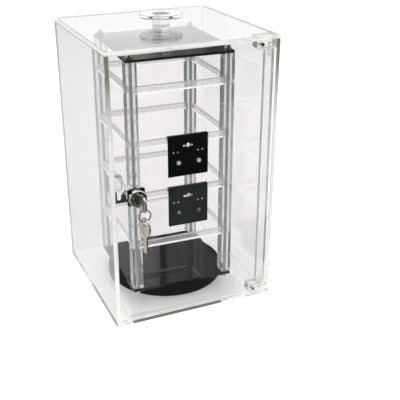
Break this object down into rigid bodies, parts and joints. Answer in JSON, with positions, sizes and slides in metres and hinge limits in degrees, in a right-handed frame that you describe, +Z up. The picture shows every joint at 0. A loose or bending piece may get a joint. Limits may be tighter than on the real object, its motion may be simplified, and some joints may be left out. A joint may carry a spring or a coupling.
{
  "type": "revolving locking display case",
  "caption": "Clear locking countertop case with a hinged door and an inner tower of rails, turned by a knob, for small hanging earring cards.",
  "frame": {"origin": "centre of the case's footprint, on the underside of the base panel", "axes": "+Z up along the tower's axis, -Y out through the door, +X to the right with the door's hinge"},
  "size_m": [0.205, 0.2361, 0.3468],
  "materials": {
    "clear_acrylic": "clear cast acrylic sheet, flame-polished edges",
    "clear_block": "clear moulded acrylic blocks and rod, polished",
    "clear_rail": "clear acrylic strip, polished",
    "black_acrylic": "mirror-gloss black acrylic",
    "black_plastic": "moulded black plastic, satin gloss",
    "white_nylon": "natural nylon",
    "bright_steel": "bright drawn steel",
    "chrome_plate": "bright chrome plate",
    "lock_face": "satin chrome plug face",
    "dark_steel": "dark passivated steel",
    "nickel_silver": "nickel silver, brushed, warm",
    "card_plastic": "thin black plastic card, fine grain",
    "gold_plate": "bright gold plate",
    "pearl": "pearl bead in a bright cup"
  },
  "bodies": {
    "case": {"base_panel": "clear_acrylic", "riser_plate": "clear_acrylic", "left_panel": "clear_acrylic", "right_panel": "clear_acrylic", "back_panel": "clear_acrylic", "top_panel": "clear_acrylic", "hinge_block_bottom": "clear_acrylic", "hinge_block_top": "clear_acrylic", "hinge_block_screws": "bright_steel", "strike_block": "clear_acrylic", "turntable_base": "black_plastic", "turntable_pivot": "bright_steel"},
    "door": {"door_panel": "clear_acrylic", "hinge_rod": "clear_acrylic", "hinge_pins": "clear_block", "lock_housing": "chrome_plate", "lock_nut": "chrome_plate"},
    "lock_plug": {"lock_cylinder": "lock_face", "hook_cam": "dark_steel", "cam_nut": "bright_steel"},
    "key": {"key": "nickel_silver"},
    "key_ring": {"key_ring": "bright_steel"},
    "spare_key": {"spare_key": "nickel_silver"},
    "tower": {"turntable_disc": "black_plastic", "bottom_plate": "black_acrylic", "top_plate": "black_acrylic", "tie_rods": "dark_steel", "acorn_nuts_upper": "chrome_plate", "acorn_nuts_lower": "chrome_plate", "knob_stem": "clear_acrylic", "knob_disc": "clear_acrylic", "post_back_left": "clear_block", "post_back_right": "clear_block", "post_front_left": "clear_block", "post_front_right": "clear_block", "rail_back_1": "clear_rail", "rail_back_2": "clear_rail", "rail_back_3": "clear_rail", "rail_back_4": "clear_rail", "rail_front_1": "clear_rail", "rail_front_2": "clear_rail", "rail_front_3": "clear_rail", "rail_front_4": "clear_rail", "rail_left_1": "clear_rail", "rail_left_2": "clear_rail", "rail_left_3": "clear_rail", "rail_left_4": "clear_rail", "rail_right_1": "clear_rail", "rail_right_2": "clear_rail", "rail_right_3": "clear_rail", "rail_right_4": "clear_rail"},
    "ball_ring": {"ball_cage": "white_nylon", "bearing_balls": "bright_steel"},
    "card_upper": {"card_upper": "card_plastic", "studs_upper": "pearl", "clutches_upper": "chrome_plate"},
    "card_lower": {"card_lower": "card_plastic", "stud_lower_silver": "chrome_plate", "stud_lower_gold": "gold_plate", "clutches_lower": "chrome_plate"}
  },
  "joints": [
    {"name": "tower_spin", "type": "hinge", "parent": "case", "child": "tower", "pos_m": [0, 0, 0.019], "axis": [0, 0, 1], "continuous": true},
    {"name": "ball_ring_spin", "type": "hinge", "parent": "case", "child": "ball_ring", "pos_m": [0, 0, 0.014], "axis": [0, 0, 1], "continuous": true},
    {"name": "door_hinge", "type": "hinge", "parent": "case", "child": "door", "pos_m": [0.0905, -0.0965, 0.166], "axis": [0, 0, 1], "range_deg": [0, 110]},
    {"name": "lock_turn", "type": "hinge", "parent": "door", "child": "lock_plug", "pos_m": [-0.072, -0.09, 0.165], "axis": [0, 1, 0], "range_deg": [-70, 20]},
    {"name": "key_slide", "type": "slide", "parent": "lock_plug", "child": "key", "axis": [0, -1, 0], "range_m": [0, 0.026]},
    {"name": "ring_swing", "type": "hinge", "parent": "key", "child": "key_ring", "pos_m": [-0.072, -0.1247, 0.15975], "axis": [1, 0, 0], "range_deg": [-30, 8]},
    {"name": "spare_key_swing", "type": "hinge", "parent": "key_ring", "child": "spare_key", "pos_m": [-0.072, -0.1247, 0.14575], "axis": [1, 0, 0], "range_deg": [-30, 10]},
    {"name": "card_upper_lift", "type": "slide", "parent": "tower", "child": "card_upper", "axis": [0, 0, 1], "range_m": [0, 0.01]},
    {"name": "card_lower_lift", "type": "slide", "parent": "tower", "child": "card_lower", "axis": [0, 0, 1], "range_m": [0, 0.01]}
  ],
  "couplings": [
    {"joint": "ball_ring_spin", "follows": "tower_spin", "ratio": 0.5}
  ]
}
